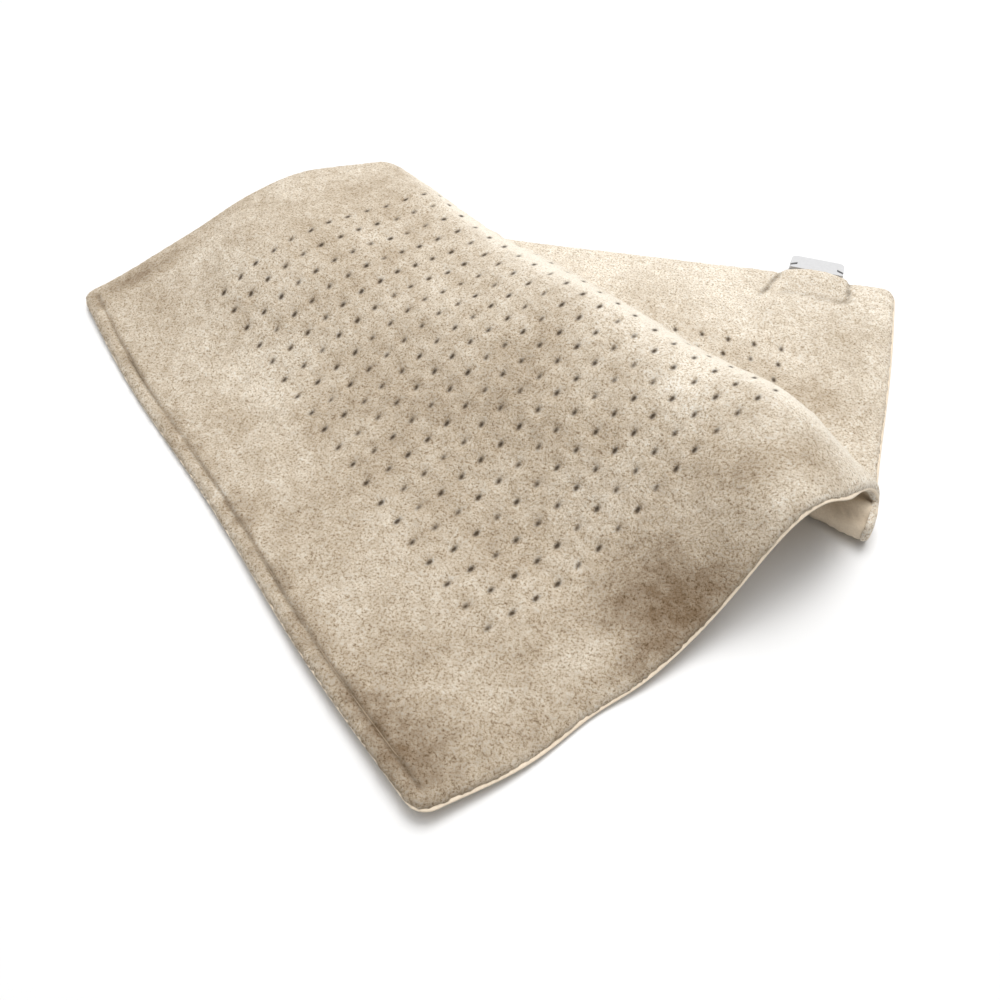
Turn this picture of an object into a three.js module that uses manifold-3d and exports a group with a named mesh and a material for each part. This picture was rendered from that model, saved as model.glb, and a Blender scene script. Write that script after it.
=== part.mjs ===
// A plush heating pad thrown down in a wedge-shaped pleat, with the white socket for its controller.
// Millimetres, +Z up. The pad is a flat rectangle (u along its length, v across it) bent along straight
// lines and then shifted a little where the cloth gives way, so every layer is an offset of one surface.
import * as THREE from 'three'
import { mergeVertices } from 'three/addons/utils/BufferGeometryUtils.js'
import Module from 'manifold-3d'

const wasm = await Module()
wasm.setup()

// Pad, laid flat
const padLength = 381
const padWidth = 305
const cornerRadius = 9

// Layers, as heights over the pad's middle surface (+ toward the plush)
const clear = 0.3
const slack = 0.45
const wireRadius = 0.4
const feltThick = 0.4
const plushThick = 1.6
const backThick = 0.4
const quiltThreadRadius = 0.15
const feltInner = wireRadius + slack
const plushInner = feltInner + feltThick + clear
const plushTop = plushInner + plushThick
const quiltThreadAt = -(wireRadius + slack + quiltThreadRadius)
const backInner = quiltThreadAt - quiltThreadRadius - slack
const backBottom = backInner - backThick
const rest = -backBottom

// Edges: the covers are sewn face to face and turned, so their seam lies half way up the rounded edge.
// The near short end is closed last, by a row of stitches through both covers
const edgeRound = 2
const edgeSwell = 6
const borderWidth = 22
const hemSeam = 5.6
const hemSeamHalf = 1.4
const hemThreadRadius = 0.35

// Wire and quilting, with their distances from the pad's edges
const wireRuns = 8
const wireMargin = 47.5
const wireEnd = 40
const quiltRows = 19
const quiltFirst = 46
const quiltLast = 52
const quiltEnd = 52
const leadRadius = 0.6
const limiterGap = 1
const limiterWidth = 9
const limiterDepth = 4.4
const limiterHeight = 1.7
const fuseWidth = 7
const fuseDepth = 2.6
const leadInset = 14.2

// The pleat: bends crossed on the way from the near short end (u = 0) to the far one
const bends = [
  { name: 'lift', at: 48, half: 72.3, turn: 23.7 },
  { name: 'crown', at: 169.9, half: 26, turn: -63.3 },
  { name: 'ridge', at: 197.6, half: 15.6, turn: -138.4 },
  { name: 'foot', at: 260.8, half: 14.6, turn: 183.7 }
]
// Slant of the bending lines from the crosswise direction, degrees, at distances along the middle
const slants = [[0, 4.3], [48, 9.1], [169.9, 4.5], [188.3, 11.5], [207, 5.9], [252.8, -9.2], [268.9, -10.6]]
const slantBlend = 12
// Soft sags of the front part: centre, spread and height
const sags = [
  { u: 130, v: 0, su: 40, sv: 60, h: -6.6 },
  { u: 95, v: 250, su: 45, sv: 45, h: -6.3 },
  { u: 60, v: 305, su: 40, sv: 45, h: -4.1 },
  { u: 40, v: 0, su: 40, sv: 60, h: 5.6 },
  { u: 83, v: 40, su: 42, sv: 56, h: 12.2 },
  { u: 105, v: 305, su: 35, sv: 45, h: -1.9 },
  { u: 150, v: 150, su: 40, sv: 70, h: 3.5 }
]
// Where the cloth gives way from the plain pleat: centre, spread and shift along the floor and up
const drapes = [
  { u: 20, v: 150, su: 70, sv: 170, x: 4.1, y: -6.3, z: -2 },
  { u: 0, v: 60, su: 45, sv: 60, x: -0.2, y: -3.6, z: -0.7 },
  { u: 0, v: 240, su: 45, sv: 60, x: -5, y: 0.9, z: 0.2 },
  { u: 70, v: 0, su: 45, sv: 50, x: 3.6, y: 3, z: -1 },
  { u: 62, v: 0, su: 22, sv: 40, x: 0, y: 0, z: -1.4 },
  { u: 122, v: 0, su: 22, sv: 40, x: 0, y: 0, z: 3.5 },
  { u: 160, v: 0, su: 34, sv: 42, x: 12.9, y: 3.1, z: -10.4 },
  { u: 157, v: 100, su: 31, sv: 60, x: 2.8, y: -6.8, z: -9.2 },
  { u: 155, v: 305, su: 30, sv: 45, x: -2.8, y: -1, z: 13 },
  { u: 188, v: 305, su: 20, sv: 40, x: -3, y: -5.4, z: -6.4 },
  { u: 193, v: 270, su: 22, sv: 34, x: 0, y: 1.1, z: 11.2 },
  { u: 212, v: 305, su: 20, sv: 40, x: -6, y: -2, z: 2.7 },
  { u: 240, v: 305, su: 32, sv: 45, x: 0.5, y: -4.5, z: -0.8 },
  { u: 70, v: 305, su: 50, sv: 60, x: 3.5, y: 1.2, z: 2.9 },
  { u: 60, v: 305, su: 16, sv: 30, x: -1.3, y: 2.2, z: 0 },
  { u: 0, v: 305, su: 22, sv: 34, x: -1.8, y: 1.7, z: 0 },
  { u: 335, v: 305, su: 60, sv: 60, x: 2.1, y: 0, z: 0 }
]
// How far the far short end reaches past its square line, at shares of the width, and where that begins
const endLine = [[0, -25], [0.46, -11], [0.59, -5.5], [0.76, 1], [0.83, 4.5], [0.95, 5], [1, 8]]
const endRamp = 96

// Socket, in its own frame: x along the pad's short end, y outward from it, z up from the middle surface
const mouthHalf = 15
const mouthFade = 5
const socketAt = padWidth - borderWidth - mouthHalf
const socketWidth = 25
const socketFront = 10.2
const socketBack = 0.6
const socketTop = 4.4
const socketBottom = backBottom
const socketSplit = 0.8
const socketCorner = 2.6
const tongueWidth = socketWidth
const tongueDepth = 11
const tongueTop = 2.1
const tongueBottom = backInner + clear
const mouthWidth = 11.2
const mouthTop = 3.2
const mouthBottom = -1.2
const mouthBack = 2.2
const pocketLift = 2.6
const pocketDepth = 19
const contactSpacing = 5.2
const contactRadius = 0.8
const contactBlockDepth = 1.4
const contactReach = 1.6
const tabDepth = 2.6
const tabInner = socketWidth / 2 - tabDepth
const tabFrom = 2.5
const tabTo = 8.1
const tabPinX = socketWidth / 2 - tabDepth / 2
const tabPinY = 6.9
const tabPinRadius = 0.6
const tabRoom = 1
const springRoom = 2.5
const springFrom = 3.7
const springLength = 2.5
const springBow = 1.1
const springThick = 0.35
const slitLength = 3.1
const slitWidth = 1.5
const slitFrom = 1.5
const slitRise = 1.9
const shellPinX = tongueWidth / 2 - 3
const shellPinY = -5
const shellPinRadius = 1.1

const half = padWidth / 2
const rad = THREE.MathUtils.degToRad

// Slant of the bending line at t, averaged over a short length so that it changes gently
function slantAt(t) {
  let sum = 0
  const samples = 9
  for (let i = 0; i < samples; i++) {
    sum += along(slants, t + slantBlend * (2 * i / (samples - 1) - 1))
  }
  return rad(sum / samples)
}

// Value of a broken line of [position, value] pairs
function along(pairs, x) {
  if (x <= pairs[0][0]) return pairs[0][1]
  for (let i = 1; i < pairs.length; i++) {
    const [a, p] = pairs[i - 1]
    const [b, q] = pairs[i]
    if (x <= b) return p + (q - p) * (x - a) / (b - a)
  }
  return pairs[pairs.length - 1][1]
}

// Share of a bend that lies before t
function bendShare(bend, t) {
  const s = THREE.MathUtils.clamp((t - bend.at) / bend.half, -1, 1)
  return 0.5 * (1 + s + Math.sin(Math.PI * s) / Math.PI)
}

// Frames of the narrow strips that the pad is bent into
const stripStep = 0.5
const stripCount = Math.round(padLength / stripStep)
const strips = [new THREE.Matrix4()]
for (let i = 0; i < stripCount; i++) {
  const t = (i + 0.5) * stripStep
  let turn = 0
  for (const bend of bends) {
    turn += rad(bend.turn) * (bendShare(bend, t + stripStep / 2) - bendShare(bend, t - stripStep / 2))
  }
  const slant = slantAt(t)
  const axis = new THREE.Vector3(Math.sin(slant), Math.cos(slant), 0)
  const hinge = new THREE.Matrix4().makeTranslation(t, half, 0)
  hinge.multiply(new THREE.Matrix4().makeRotationAxis(axis, -turn))
  hinge.multiply(new THREE.Matrix4().makeTranslation(-t, -half, 0))
  strips.push(strips[i].clone().multiply(hinge))
}
// The far part lies flat on the floor, its length along +Y and its width along +X
const alongU = new THREE.Vector3(0, 1, 0)
const alongV = new THREE.Vector3(1, 0, 0)
const up = new THREE.Vector3(0, 0, 1)
const rearFrame = new THREE.Matrix4().makeBasis(alongU, alongV, up).setPosition(0, 0, rest)
const toWorld = rearFrame.clone().multiply(strips[stripCount].clone().invert())
for (const strip of strips) strip.premultiply(toWorld)

// The bending line through a point of the flat pad
function lineThrough(u, v) {
  let low = -80
  let high = padLength + 80
  for (let i = 0; i < 40; i++) {
    const t = (low + high) / 2
    if (t + Math.tan(slantAt(t)) * (v - half) < u) low = t
    else high = t
  }
  return THREE.MathUtils.clamp((low + high) / 2, 0, padLength)
}

// Where the point (u, v) of the flat pad goes, at height n over the middle surface
function place(u, v, n) {
  const f = Math.min(lineThrough(u, v) / stripStep, stripCount - 1e-6)
  const k = Math.floor(f)
  const a = new THREE.Vector3(u, v, n).applyMatrix4(strips[k])
  const b = new THREE.Vector3(u, v, n).applyMatrix4(strips[k + 1])
  return a.lerp(b, f - k)
}

// Columns of the layers follow the bending lines, except near the two short ends
const fadeFrom = 40
const fadeTo = 85
function columnU(c, v) {
  const fade = THREE.MathUtils.smoothstep(c, fadeFrom, fadeTo) *
    (1 - THREE.MathUtils.smoothstep(c, padLength - fadeTo, padLength - fadeFrom))
  const reach = THREE.MathUtils.smoothstep(c, padLength - endRamp, padLength) * along(endLine, v / padWidth)
  return c + fade * Math.tan(slantAt(c)) * (v - half) + reach
}

// Columns between the borders: close together where the pad bends
const columnCount = 24
const frontSpacing = 24
const farSpacing = 200
const degreeSpacing = 19
function effort(t) {
  let sum = Math.min(t, bends[1].at) / frontSpacing + t / farSpacing
  for (const bend of bends) sum += Math.abs(bend.turn) / degreeSpacing * bendShare(bend, t)
  return sum
}
const innerColumns = []
for (let i = 0; i <= columnCount; i++) {
  const first = effort(borderWidth)
  const goal = first + (effort(padLength - borderWidth) - first) * i / columnCount
  let low = borderWidth
  let high = padLength - borderWidth
  for (let k = 0; k < 40; k++) {
    const t = (low + high) / 2
    if (effort(t) < goal) low = t
    else high = t
  }
  innerColumns.push((low + high) / 2)
}
const edgeSteps = [0, edgeRound, edgeSwell]
const hemSteps = [0, edgeRound, hemSeam - hemSeamHalf, hemSeam, hemSeam + hemSeamHalf]
const columns = [...hemSteps, ...innerColumns, ...edgeSteps.map(d => padLength - d).reverse()]
const rowCount = 7
const innerRows = []
for (let i = 0; i <= rowCount; i++) {
  innerRows.push(borderWidth + (socketAt - mouthHalf - mouthFade - borderWidth) * i / rowCount)
}
innerRows.push(socketAt - mouthHalf, socketAt, socketAt + mouthHalf)
const rows = [...edgeSteps, ...innerRows, ...edgeSteps.map(d => padWidth - d).reverse()]

// How much of a sag or a shift is left at a point of the flat pad
function hold(soft, u, v) {
  return Math.exp(-(((u - soft.u) / soft.su) ** 2) - ((v - soft.v) / soft.sv) ** 2)
}

function sagAt(u, v) {
  return sags.reduce((sum, sag) => sum + sag.h * hold(sag, u, v), 0)
}

function drapeAt(u, v) {
  const sum = new THREE.Vector3()
  for (const drape of drapes) {
    const shift = new THREE.Vector3(drape.x, drape.y, drape.z)
    sum.addScaledVector(shift, hold(drape, u, v))
  }
  return sum
}

// Point of a layer at column c, straight between the rows so that all layers share one shape
function onPad(c, v, n) {
  let k = 1
  while (k < rows.length - 1 && rows[k] < v) k++
  const share = (v - rows[k - 1]) / (rows[k] - rows[k - 1])
  return onRow(c, rows[k - 1], n).lerp(onRow(c, rows[k], n), share)
}

// Point of a layer on one of the rows; the floor holds up what would sag below it
function onRow(c, v, n) {
  const r = cornerRadius
  const flat = columnU(c, v)
  let u = flat
  let w = v
  const cu = Math.max(r - c, c - padLength + r)
  const cv = Math.max(r - v, v - padWidth + r)
  if (cu > 0 && cv > 0) {
    const pull = Math.max(cu, cv) / Math.hypot(cu, cv)
    u += Math.sign(c - r) * cu * (pull - 1)
    w += Math.sign(v - r) * cv * (pull - 1)
  }
  const sag = sagAt(flat, v)
  const shift = drapeAt(flat, v)
  shift.z += Math.max(0, rest - place(u, w, sag).z - shift.z)
  return place(u, w, n + sag).add(shift)
}

// Distance from the edge; the seam is left open where the socket comes out
function mouthAt(v) {
  return 1 - THREE.MathUtils.smoothstep(Math.abs(v - socketAt), mouthHalf - 0.01, mouthHalf + mouthFade)
}

function inside(c, v) {
  return Math.min(c, padLength - c + borderWidth * mouthAt(v), v, padWidth - v)
}

// The pocket over the socket stands up a little
function pocketAt(c, v) {
  const across = Math.max(0, 1 - ((v - socketAt) / (mouthHalf + 2)) ** 2)
  return pocketLift * across * THREE.MathUtils.smoothstep(c, padLength - pocketDepth - 8, padLength - 4)
}

// Heights of the covers' faces over the middle surface, at distances from an edge and from the hemmed end
const plushTopLine = [[0, 0.6], [edgeRound, 2], [edgeSwell, 2.75], [borderWidth, plushTop]]
const plushUnderLine = [[0, -0.3], [edgeRound, 0], [edgeSwell, 0.5], [borderWidth, plushInner]]
const backOverLine = [[0, -0.6], [borderWidth, backInner]]
const backUnderLine = [[0, -1.1], [edgeRound, -1.7], [borderWidth, backBottom]]
const hemTop = 1
const hemTopLine = [
  [0, 0.6],
  [edgeRound, 1.8],
  [hemSeam - hemSeamHalf, 1.9],
  [hemSeam, hemTop],
  [hemSeam + hemSeamHalf, 2.2],
  [borderWidth, plushTop]
]
const hemUnderLine = [[0, -0.3], [hemSeam, -0.3], [borderWidth, plushInner]]
const hemOverLine = [[0, -0.6], [hemSeam, -0.6], [borderWidth, backInner]]
const hemBottomLine = [[0, -1.1], [edgeRound, -1.6], [hemSeam, -1.2], [borderWidth, backBottom]]

const lower = (line, hem, c, v) => Math.min(along(line, inside(c, v)), along(hem, c))
const higher = (line, hem, c, v) => Math.max(along(line, inside(c, v)), along(hem, c))
const plushOver = (c, v) => lower(plushTopLine, hemTopLine, c, v) + pocketAt(c, v)
const plushUnder = (c, v) => lower(plushUnderLine, hemUnderLine, c, v) + pocketAt(c, v)
const backOver = (c, v) => higher(backOverLine, hemOverLine, c, v)
const backUnder = (c, v) => higher(backUnderLine, hemBottomLine, c, v)

// A closed layer between two heights. Each of its quads is split so that it bulges away from the wire:
// outward is 1 on the plush side of it and -1 on the other
function layer(cs, vs, over, under, outward) {
  const points = []
  for (const side of [over, under]) {
    for (const c of cs) {
      for (const v of vs) {
        const p = onPad(c, v, side(c, v))
        points.push(p.x, p.y, p.z)
      }
    }
  }
  const nu = cs.length
  const nv = vs.length
  const at = (side, i, j) => (side * nu + i) * nv + j
  const faces = []
  const quad = (a, b, c, d) => faces.push(a, b, c, a, c, d)
  const spot = k => new THREE.Vector3().fromArray(points, 3 * k)
  for (let i = 0; i < nu - 1; i++) {
    for (let j = 0; j < nv - 1; j++) {
      const [a, b, c, d] = [at(0, i, j), at(0, i, j + 1), at(0, i + 1, j + 1), at(0, i + 1, j)]
      const bulge = spot(a).add(spot(c)).sub(spot(b)).sub(spot(d))
      const below = nu * nv
      if (bulge.dot(spot(a).sub(spot(a + below))) * outward > 0) {
        quad(a, b, c, d)
        quad(a + below, d + below, c + below, b + below)
      } else {
        quad(b, c, d, a)
        quad(d + below, c + below, b + below, a + below)
      }
    }
    quad(at(0, i, 0), at(0, i + 1, 0), at(1, i + 1, 0), at(1, i, 0))
    quad(at(0, i, nv - 1), at(1, i, nv - 1), at(1, i + 1, nv - 1), at(0, i + 1, nv - 1))
  }
  for (let j = 0; j < nv - 1; j++) {
    quad(at(0, 0, j), at(1, 0, j), at(1, 0, j + 1), at(0, 0, j + 1))
    quad(at(0, nu - 1, j), at(0, nu - 1, j + 1), at(1, nu - 1, j + 1), at(1, nu - 1, j))
  }
  const geometry = new THREE.BufferGeometry()
  geometry.setAttribute('position', new THREE.Float32BufferAttribute(points, 3))
  geometry.setIndex(faces)
  return faceOut(geometry)
}

// Turns a closed surface so that its faces point out
function faceOut(geometry) {
  const p = geometry.getAttribute('position')
  const index = geometry.getIndex()
  const a = new THREE.Vector3()
  const b = new THREE.Vector3()
  const c = new THREE.Vector3()
  let volume = 0
  for (let i = 0; i < index.count; i += 3) {
    a.fromBufferAttribute(p, index.getX(i))
    b.fromBufferAttribute(p, index.getX(i + 1))
    c.fromBufferAttribute(p, index.getX(i + 2))
    volume += a.dot(b.cross(c))
  }
  if (volume < 0) {
    for (let i = 0; i < index.count; i += 3) {
      const first = index.getX(i)
      index.setX(i, index.getX(i + 1))
      index.setX(i + 1, first)
    }
  }
  return geometry
}

// A curve through given points, one step to each point
class ThroughPoints extends THREE.Curve {
  constructor(points) {
    super()
    this.points = points
  }

  getPoint(t, target = new THREE.Vector3()) {
    const f = t * (this.points.length - 1)
    const k = Math.min(Math.floor(f + 1e-9), this.points.length - 2)
    return target.copy(this.points[k]).lerp(this.points[k + 1], f - k)
  }

  getPointAt(u, target) {
    return this.getPoint(u, target)
  }

  getTangentAt(u, target = new THREE.Vector3()) {
    const last = this.points.length - 1
    const k = Math.round(u * last)
    const a = this.points[Math.max(k - 1, 0)]
    const b = this.points[Math.min(k + 1, last)]
    return target.copy(b).sub(a).normalize()
  }
}

function tube(points, radius, sides) {
  const ring = []
  for (let i = 0; i < sides; i++) {
    const a = 2 * Math.PI * i / sides
    ring.push(new THREE.Vector2(radius * Math.cos(a), radius * Math.sin(a)))
  }
  const curve = new ThroughPoints(points)
  return new THREE.ExtrudeGeometry(new THREE.Shape(ring), { steps: points.length - 1, extrudePath: curve })
}

// Solids for cutting and joining
function solid(geometry) {
  const bare = geometry.clone()
  bare.deleteAttribute('normal')
  bare.deleteAttribute('uv')
  const merged = faceOut(mergeVertices(bare, 1e-4))
  return new wasm.Manifold(new wasm.Mesh({
    numProp: 3,
    vertProperties: new Float32Array(merged.getAttribute('position').array),
    triVerts: new Uint32Array(merged.getIndex().array)
  }))
}

function toGeometry(body) {
  const mesh = body.getMesh()
  const geometry = new THREE.BufferGeometry()
  geometry.setAttribute('position', new THREE.BufferAttribute(new Float32Array(mesh.vertProperties), 3))
  geometry.setIndex(new THREE.BufferAttribute(new Uint32Array(mesh.triVerts), 1))
  return geometry
}

function block(x0, x1, y0, y1, z0, z1) {
  const geometry = new THREE.BoxGeometry(x1 - x0, y1 - y0, z1 - z0)
  return geometry.translate((x0 + x1) / 2, (y0 + y1) / 2, (z0 + z1) / 2)
}

function prism(outline, z0, z1) {
  const points = Array.isArray(outline) ? outline.map(p => new THREE.Vector2(...p)) : null
  const shape = points ? new THREE.Shape(points) : outline
  const settings = { depth: z1 - z0, bevelEnabled: false, curveSegments: 5 }
  return new THREE.ExtrudeGeometry(shape, settings).translate(0, 0, z0)
}

function rodZ(x, y, z0, z1, radius, sides = 14) {
  const rod = new THREE.CylinderGeometry(radius, radius, z1 - z0, sides).rotateX(Math.PI / 2)
  return rod.translate(x, y, (z0 + z1) / 2)
}

function rodY(x, z, y0, y1, radius, sides = 12) {
  return new THREE.CylinderGeometry(radius, radius, y1 - y0, sides).translate(x, (y0 + y1) / 2, z)
}

const plush = { color: 0xcdbb9f, roughness: 1, metalness: 0 }
const backing = { color: 0xe0cdb2, roughness: 0.9, metalness: 0 }
const felt = { color: 0xece6da, roughness: 1, metalness: 0 }
const thread = { color: 0xb9a384, roughness: 0.85, metalness: 0 }
const whitePlastic = { color: 0xe9e9ea, roughness: 0.42, metalness: 0 }
const greyPlastic = { color: 0xb9babd, roughness: 0.5, metalness: 0 }
const wireSleeve = { color: 0xd9d4c8, roughness: 0.6, metalness: 0 }
const steel = { color: 0xb8bbc0, roughness: 0.35, metalness: 1 }
const brass = { color: 0xc9a552, roughness: 0.35, metalness: 1 }
const darkPlastic = { color: 0x3a3a3c, roughness: 0.55, metalness: 0 }

const pad = new THREE.Group()
const socket = new THREE.Group()
const mirrored = side => (side < 0 ? 'left' : 'right')

function add(group, name, geometry, look) {
  const mesh = new THREE.Mesh(geometry, new THREE.MeshStandardMaterial(look))
  mesh.name = name
  group.add(mesh)
}

// Covers and the felt that carries the wire
add(pad, 'plush_cover', layer(columns, rows, plushOver, plushUnder, 1), plush)
add(pad, 'back_cover', layer(columns, rows, backOver, backUnder, -1), backing)
const feltOver = () => feltInner + feltThick
const feltUnder = () => feltInner
add(pad, 'felt_carrier', layer(innerColumns, innerRows, feltOver, feltUnder, 1), felt)

// One run of wire or thread along the pad, with a point on every column
function run(v, n, from, to) {
  const points = []
  const inner = innerColumns.filter(c => c > from && c < to)
  for (const c of [from, ...inner, to]) points.push(onPad(c, v, n))
  return points
}

// Half turn from row a to row b, round the end at column c
function halfTurn(c, a, b, n, outward, pieces) {
  const points = []
  const radius = Math.abs(b - a) / 2
  for (let i = 1; i < pieces; i++) {
    const angle = Math.PI * i / pieces
    const v = (a + b) / 2 + (a - b) / 2 * Math.cos(angle)
    points.push(onPad(c + outward * radius * Math.sin(angle), v, n))
  }
  return points
}

// A line that goes to and fro over the rows listed, starting at the far short end
function toAndFro(vs, n, end, pieces) {
  const points = []
  vs.forEach((v, i) => {
    const line = run(v, n, end, padLength - end)
    points.push(...(i % 2 === 0 ? line.reverse() : line))
    if (i + 1 < vs.length) {
      const far = i % 2 === 1
      points.push(...halfTurn(far ? padLength - end : end, v, vs[i + 1], n, far ? 1 : -1, pieces))
    }
  })
  return points
}

const wirePitch = (padWidth - 2 * wireMargin) / (wireRuns - 1)
const wireRows = []
for (let i = 0; i < wireRuns; i++) wireRows.push(half + (wireRuns / 2 - 0.5 - i) * wirePitch)
const firstRuns = toAndFro(wireRows.slice(0, 4), 0, wireEnd, 5)
const secondRuns = toAndFro(wireRows.slice(4), 0, wireEnd, 5)
add(pad, 'heating_wire_first', tube(firstRuns, wireRadius, 4), wireSleeve)
add(pad, 'heating_wire_second', tube(secondRuns, wireRadius, 4), wireSleeve)

const quiltPitch = (padWidth - quiltFirst - quiltLast) / (quiltRows - 1)
const quiltLines = []
for (let i = 0; i < quiltRows; i++) quiltLines.push(padWidth - quiltFirst - i * quiltPitch)
const quiltRuns = toAndFro(quiltLines, quiltThreadAt, quiltEnd, 2)
add(pad, 'quilting_thread', tube(quiltRuns, quiltThreadRadius, 3), thread)

// Thread of the near end's hem, laid in its seam
const hemThreadAt = hemTop + clear + hemThreadRadius + 0.1
const hemRows = rows.filter(v => v >= hemSeam && v <= padWidth - hemSeam)
const hemLine = hemRows.map(v => onPad(hemSeam, v, hemThreadAt))
add(pad, 'hem_thread', tube(hemLine, hemThreadRadius, 4), thread)

// Heat limiters and leads, in the border between the felt and the far edge
const borderAt = padLength - borderWidth + limiterGap + limiterDepth / 2
const leadAt = padLength - leadInset
const border = (c, v) => onPad(c, v, -0.2)
function limiter(v, width, depth) {
  return new THREE.BoxGeometry(width, depth, limiterHeight).translate(...border(borderAt, v))
}
const fuseAt = wireRows[wireRuns - 1] + 12
const secondAt = (wireRows[3] + wireRows[4]) / 2
const firstAt = wireRows[0] - 8
add(pad, 'thermostat_first', limiter(firstAt, limiterWidth, limiterDepth), steel)
add(pad, 'thermostat_second', limiter(secondAt, limiterWidth, limiterDepth), steel)
add(pad, 'thermal_fuse', limiter(fuseAt, fuseWidth, fuseDepth), darkPlastic)

// Socket: two shells with a tongue that is sewn into the pad
const sx = socketWidth / 2
const bodyShape = new THREE.Shape()
bodyShape.moveTo(-sx, socketBack)
bodyShape.lineTo(sx, socketBack)
bodyShape.lineTo(sx, socketFront - socketCorner)
bodyShape.absarc(sx - socketCorner, socketFront - socketCorner, socketCorner, 0, Math.PI / 2, false)
bodyShape.absarc(-sx + socketCorner, socketFront - socketCorner, socketCorner, Math.PI / 2, Math.PI, false)
bodyShape.lineTo(-sx, socketBack)
const tongueX = tongueWidth / 2
const leadX = contactSpacing / 2
const channel = leadRadius + clear
const windowTop = mouthTop
const windowBottom = mouthBottom

function shell(z0, z1, tongueZ0, tongueZ1) {
  let body = solid(prism(bodyShape, z0, z1))
  body = body.add(solid(block(-tongueX, tongueX, -tongueDepth, socketBack + 1, tongueZ0, tongueZ1)))
  const cuts = [block(-mouthWidth / 2, mouthWidth / 2, mouthBack, socketFront + 1, mouthBottom, mouthTop)]
  for (const side of [-1, 1]) {
    const span = (a, b) => (side < 0 ? [-b, -a] : [a, b])
    const tabSpan = span(tabInner - tabRoom, sx + 1)
    cuts.push(block(...tabSpan, tabFrom - 0.4, tabTo + 0.4, windowBottom, windowTop))
    const springEnd = springFrom + springLength + 0.4
    const springSpan = span(tabInner - springRoom, tabInner)
    cuts.push(block(...springSpan, springFrom - 0.5, springEnd, windowBottom, windowTop))
    cuts.push(rodZ(side * tabPinX, tabPinY, windowBottom - 0.5, windowTop + 0.5, tabPinRadius + clear))
    const leadSpan = span(leadX - channel, leadX + channel)
    const leadHeight = [socketSplit - channel, socketSplit + channel]
    cuts.push(block(...leadSpan, -tongueDepth - 1, mouthBack + 0.1, ...leadHeight))
    cuts.push(rodZ(side * shellPinX, shellPinY, -3, 3, shellPinRadius + clear))
  }
  for (const cut of cuts) body = body.subtract(solid(cut))
  return body
}

// Slanting grip slits in the top of the upper shell, over the release tabs
function slit(side) {
  const inner = sx - slitLength
  const corners = [[sx + 0.5, 0], [sx + 0.5, slitWidth], [inner, slitRise + slitWidth], [inner, slitRise]]
  const outline = corners.map(([x, y]) => [side * x, slitFrom + y])
  return prism(side < 0 ? outline.reverse() : outline, mouthTop - 0.5, socketTop + 1)
}

let upperShell = shell(socketSplit + clear / 2, socketTop, socketSplit + clear / 2, tongueTop)
for (const side of [-1, 1]) upperShell = upperShell.subtract(solid(slit(side)))
add(socket, 'socket_upper_shell', toGeometry(upperShell), whitePlastic)
const lowerShell = shell(socketBottom, socketSplit - clear / 2, tongueBottom, socketSplit - clear / 2)
add(socket, 'socket_lower_shell', toGeometry(lowerShell), whitePlastic)

// Contact block and contacts
const contactBack = mouthBack + clear
const contactFace = contactBack + contactBlockDepth
const contactTip = contactFace + contactReach
const contactZ = (mouthTop + mouthBottom) / 2
const contactX = mouthWidth / 2 - clear
const contactHeight = [mouthBottom + clear, mouthTop - clear]
let contactBlock = solid(block(-contactX, contactX, contactBack, contactFace, ...contactHeight))
for (const side of [-1, 1]) {
  const bore = rodY(side * leadX, contactZ, 0, socketFront, contactRadius + clear)
  contactBlock = contactBlock.subtract(solid(bore))
}
add(socket, 'contact_block', toGeometry(contactBlock), darkPlastic)

for (const side of [-1, 1]) {
  const name = mirrored(side)
  const contactPin = rodY(side * leadX, contactZ, contactBack, contactTip, contactRadius)
  add(socket, `contact_pin_${name}`, contactPin, brass)
  const shellPin = rodZ(side * shellPinX, shellPinY, tongueBottom + 0.1, tongueTop - 0.1, shellPinRadius)
  add(socket, `shell_pin_${name}`, shellPin, steel)
  const tabCorners = [[sx, tabFrom], [sx, tabTo], [tabInner, tabTo], [tabInner, tabFrom + 1.8]]
  const tabOutline = tabCorners.map(([x, y]) => [side * x, y])
  if (side < 0) tabOutline.reverse()
  let tab = solid(prism(tabOutline, windowBottom + clear, windowTop - clear))
  tab = tab.subtract(solid(rodZ(side * tabPinX, tabPinY, -5, 5, tabPinRadius + clear)))
  add(socket, `release_tab_${name}`, toGeometry(tab), greyPlastic)
  const tabPin = rodZ(side * tabPinX, tabPinY, windowBottom - 0.3, windowTop + 0.3, tabPinRadius)
  add(socket, `tab_pin_${name}`, tabPin, steel)
  add(socket, `tab_spring_${name}`, leaf(side), steel)
}

// Bowed leaf spring behind a release tab
function leaf(side) {
  const outer = []
  const inner = []
  const pieces = 6
  const ends = tabInner - clear
  for (let i = 0; i <= pieces; i++) {
    const s = i / pieces
    const bow = springBow * Math.sin(Math.PI * s)
    const y = springFrom + springLength * s
    outer.push([side * (ends - springThick - bow), y])
    inner.push([side * (ends - bow * 0.95), y])
  }
  const outline = [...outer, ...inner.reverse()]
  return prism(side < 0 ? outline.reverse() : outline, -0.4, 2.2)
}

const socketSpot = onPad(padLength, socketAt, 0)
socket.position.copy(socketSpot)

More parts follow.
